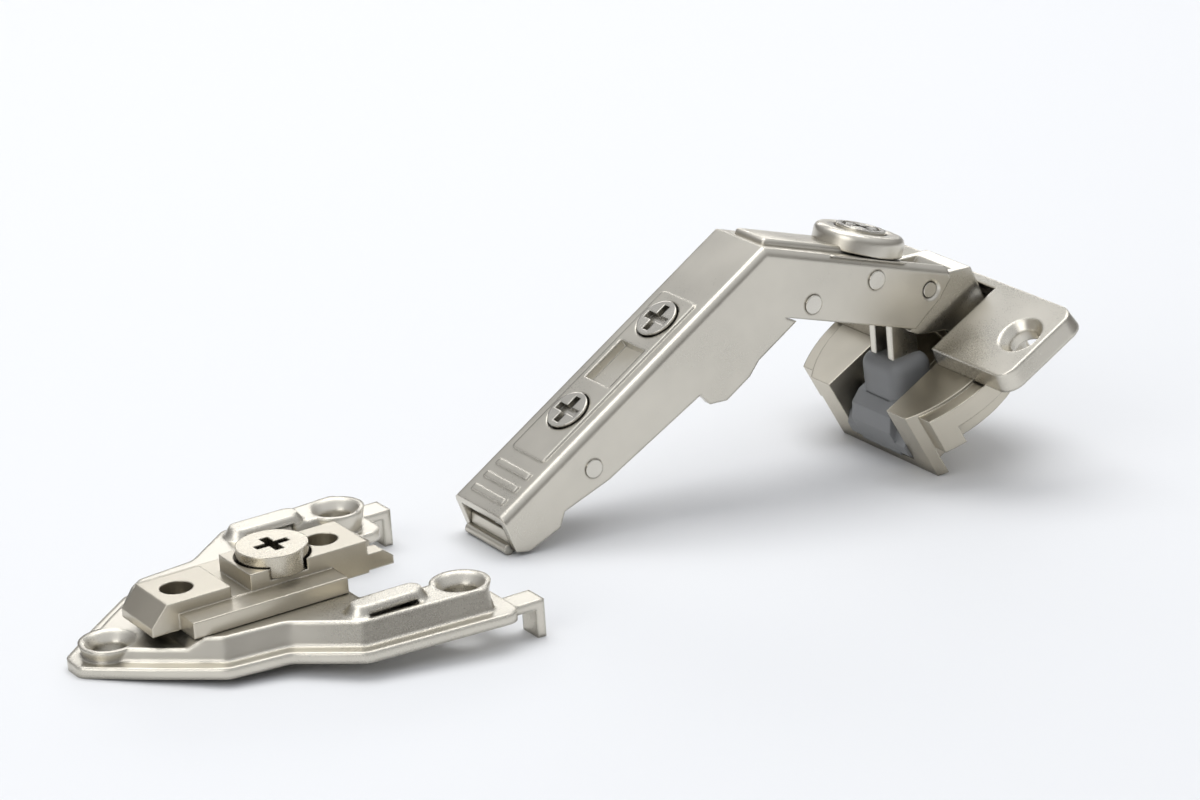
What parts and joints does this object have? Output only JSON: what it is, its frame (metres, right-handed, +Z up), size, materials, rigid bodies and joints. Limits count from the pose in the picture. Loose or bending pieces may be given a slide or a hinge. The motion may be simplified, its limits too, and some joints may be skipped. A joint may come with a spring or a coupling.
{
  "type": "concealed cup hinge",
  "caption": "Concealed hinge with a cranked clip-on arm, a link mechanism, a flanged cup, and its separate pressed mounting plate with a height cam.",
  "frame": {"origin": "centre of the bounding box, at the surface that the hinge and the plate lie on", "axes": "+X from the plate's tail towards the hinge's cup, +Y sideways, +Z up"},
  "size_m": [0.1552, 0.0576, 0.0367],
  "materials": {
    "plated_steel": "satin nickel plating on pressed steel",
    "plated_zinc": "nickel plating on a zinc casting, slightly grainy",
    "bright_pins": "nickel plated pins and screws",
    "grey_plastic": "moulded acetal, fine matt"
  },
  "bodies": {
    "arm_and_plate": {"arm_channel": "plated_steel", "base_plate": "plated_steel", "link_carrier": "plated_steel", "carrier_rivets": "bright_pins", "lever_pin": "bright_pins", "lever_spring": "plated_steel", "outer_arm_pin": "bright_pins", "inner_arm_pin": "bright_pins"},
    "rail": {"rail": "plated_zinc"},
    "cam": {"height_cam": "plated_zinc", "cam_washer": "plated_steel"},
    "lever": {"release_lever": "plated_steel"},
    "side_screw": {"side_screw": "bright_pins"},
    "depth_screw": {"depth_screw": "bright_pins"},
    "overlay_screw": {"overlay_screw": "bright_pins"},
    "outer_link": {"outer_link": "plated_steel"},
    "inner_link": {"inner_link": "plated_steel"},
    "cup": {"cup": "plated_zinc", "flange": "plated_steel", "outer_cup_pin": "bright_pins", "inner_cup_pin": "bright_pins", "damper_housing": "grey_plastic"}
  },
  "joints": [
    {"name": "outer_link_turn", "type": "hinge", "parent": "arm_and_plate", "child": "outer_link", "pos_m": [0.05746, 0.00493, 0.02574], "axis": [0, 1, 0], "range_deg": [-56.61, 20.94]},
    {"name": "inner_link_turn", "type": "hinge", "parent": "arm_and_plate", "child": "inner_link", "pos_m": [0.05492, 0.00493, 0.02379], "axis": [0, 1, 0], "range_deg": [-55.3, 20.47]},
    {"name": "cup_turn", "type": "hinge", "parent": "outer_link", "child": "cup", "pos_m": [0.06952, 0.00493, 0.01579], "axis": [0, 1, 0], "range_deg": [-4.76, 12.83]},
    {"name": "lever_press", "type": "hinge", "parent": "arm_and_plate", "child": "lever", "pos_m": [0.00154, 0.00493, 0.01017], "axis": [0, 1, 0], "range_deg": [0, 6], "stiffness_Nm_per_rad": 0.05, "springref_deg": -20.05},
    {"name": "side_screw_turn", "type": "hinge", "parent": "arm_and_plate", "child": "side_screw", "pos_m": [0.00228, 0.00493, 0.01542], "axis": [-0.5897, 0, 0.8076], "range_deg": [-540, 540]},
    {"name": "depth_screw_turn", "type": "hinge", "parent": "arm_and_plate", "child": "depth_screw", "pos_m": [0.01658, 0.00493, 0.02586], "axis": [-0.5897, 0, 0.8076], "range_deg": [-540, 540]},
    {"name": "overlay_screw_turn", "type": "hinge", "parent": "arm_and_plate", "child": "overlay_screw", "pos_m": [0.04897, 0.00493, 0.03142], "axis": [0.238, 0, 0.9713], "range_deg": [-180, 180]},
    {"name": "rail_slide", "type": "slide", "parent": "arm_and_plate", "child": "rail", "axis": [0, 1, 0], "range_m": [-0.00007, 0.00407]},
    {"name": "cam_turn", "type": "hinge", "parent": "rail", "child": "cam", "pos_m": [-0.05012, -0.00797, 0.00498], "axis": [-0.0719, 0, 0.9974], "range_deg": [-117.79, 2.32]}
  ],
  "couplings": [
    {"joint": "inner_link_turn", "follows": "outer_link_turn", "ratio": 0.9766},
    {"joint": "cup_turn", "follows": "outer_link_turn", "ratio": -0.22624},
    {"joint": "cam_turn", "follows": "rail_slide", "rad_per_m": -503.83}
  ]
}
